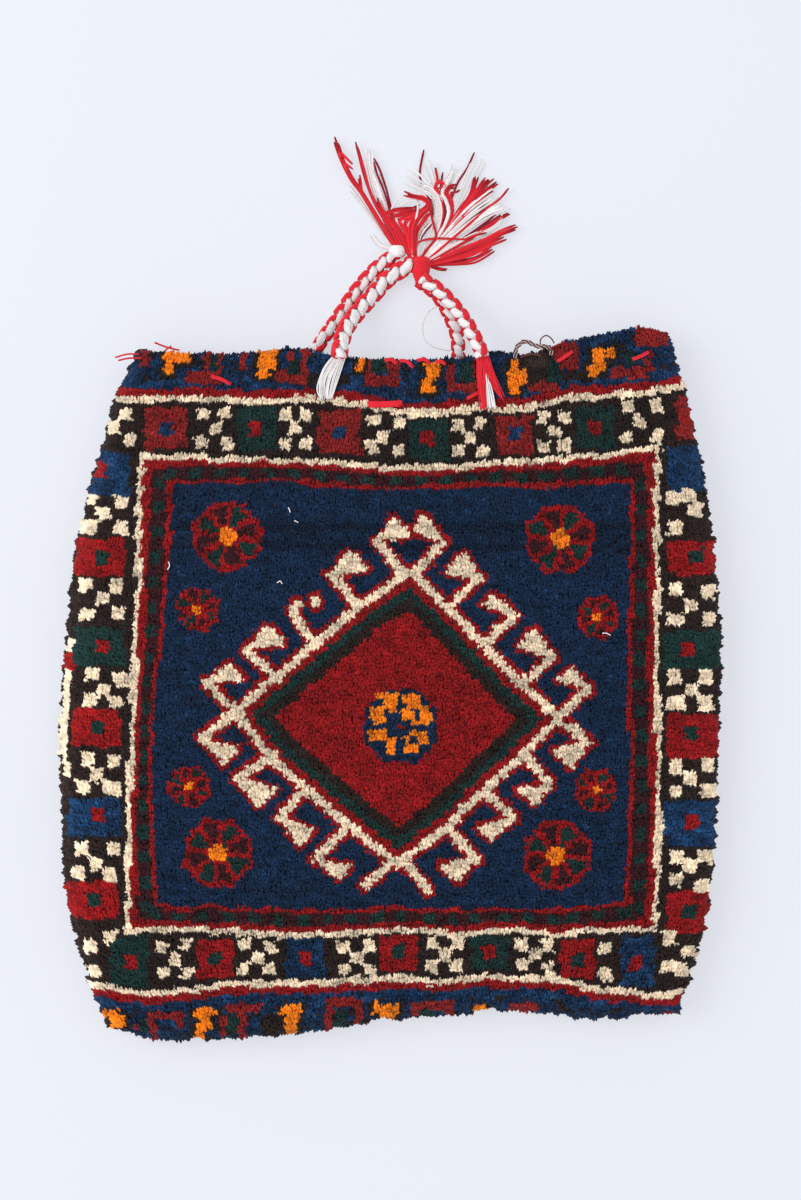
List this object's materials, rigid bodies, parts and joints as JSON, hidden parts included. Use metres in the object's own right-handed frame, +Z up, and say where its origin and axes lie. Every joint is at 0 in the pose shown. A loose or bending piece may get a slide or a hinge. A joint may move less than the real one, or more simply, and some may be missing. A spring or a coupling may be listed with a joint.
{
  "type": "feed bag",
  "caption": "Squarish hand-knotted wool feed bag, open along one edge, with a hooked medallion front and braided handles tied in tassels.",
  "frame": {"origin": "on the resting surface under the middle of the bag, which lies on its back", "axes": "+Z up out of the knotted front, +Y out of the mouth towards the handles, +X to the right seen from above"},
  "size_m": [0.383, 0.5214, 0.034],
  "materials": {
    "knotted_pile": "hand-knotted wool pile in navy, red, brown, green, cream and orange",
    "flat_weave": "matt plain-woven wool",
    "seam_yarn": "overcast wool yarn",
    "braid_yarn": "round braid of white cotton and red wool yarn",
    "white_yarn": "loose white cotton yarn",
    "red_yarn": "loose red wool yarn",
    "brown_thread": "two-ply brown and white thread"
  },
  "bodies": {
    "root": {"front_panel": "knotted_pile", "back_panel": "flat_weave", "left_side_seam": "seam_yarn", "right_side_seam": "seam_yarn", "base_seam": "seam_yarn", "front_mouth_binding": "seam_yarn", "back_mouth_binding": "seam_yarn", "front_left_braid": "braid_yarn", "front_right_braid": "braid_yarn", "back_left_braid": "braid_yarn", "back_right_braid": "braid_yarn", "front_left_tail": "white_yarn", "front_right_tail": "red_yarn", "back_left_tail": "white_yarn", "back_right_tail": "white_yarn", "red_knot": "red_yarn", "white_wrap": "white_yarn", "left_tassel": "white_yarn", "right_tassel": "red_yarn", "long_stitch": "red_yarn", "left_stitch": "red_yarn", "tail_stitch": "red_yarn", "mouth_stitch_1": "red_yarn", "mouth_stitch_2": "red_yarn", "right_stitch_1": "red_yarn", "right_stitch_2": "red_yarn", "mending_thread": "brown_thread"}
  },
  "joints": []
}
